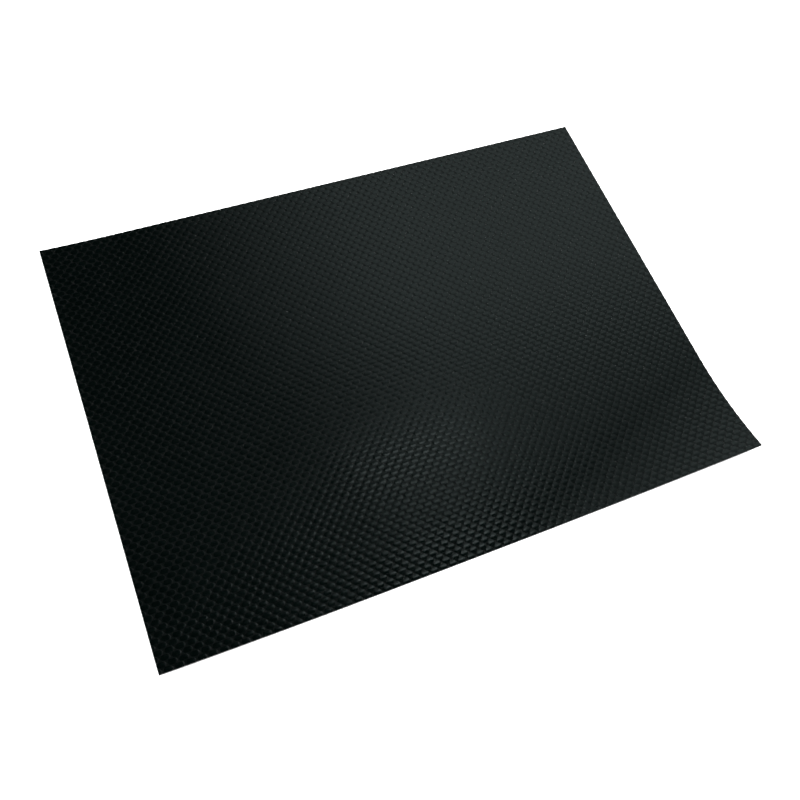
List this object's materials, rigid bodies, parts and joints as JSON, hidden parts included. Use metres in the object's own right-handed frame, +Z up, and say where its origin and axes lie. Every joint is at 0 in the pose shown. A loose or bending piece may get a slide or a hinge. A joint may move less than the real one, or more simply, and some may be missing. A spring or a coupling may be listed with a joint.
{
  "type": "seedling heat mat",
  "caption": "Thin flexible rectangular heating mat: black PVC covers, the upper one embossed with a diamond lattice of small buttons, over a printed carbon film heater.",
  "frame": {"origin": "centre of the underside, the face that rests on the bench", "axes": "+X along the long side, +Y towards the far long side, +Z up out of the embossed face"},
  "size_m": [0.35, 0.252, 0.0016],
  "materials": {
    "cover_black": "satin",
    "seal_black": "satin",
    "adhesive": "gloss",
    "film": "gloss",
    "foil": "gloss",
    "carbon": "matte",
    "silver_ink": "satin",
    "copper": "satin",
    "terminal_metal": "satin",
    "polyimide": "gloss",
    "sealant": "matte"
  },
  "bodies": {
    "root": {"top_cover": "cover_black", "bottom_cover": "cover_black", "border_seal": "seal_black", "terminal_patch": "cover_black", "terminal_sealant": "sealant", "lower_adhesive": "adhesive", "upper_adhesive": "adhesive", "reflector_foil": "foil", "lower_film": "film", "upper_film": "film", "carbon_strips": "carbon", "electrode_front": "silver_ink", "electrode_rear": "silver_ink", "bus_bar_front": "copper", "bus_bar_rear": "copper", "feed_strip_front": "copper", "feed_strip_rear": "copper", "terminal_front": "terminal_metal", "terminal_rear": "terminal_metal", "eyelet_front": "terminal_metal", "eyelet_rear": "terminal_metal", "terminal_insulator": "polyimide"}
  },
  "joints": []
}
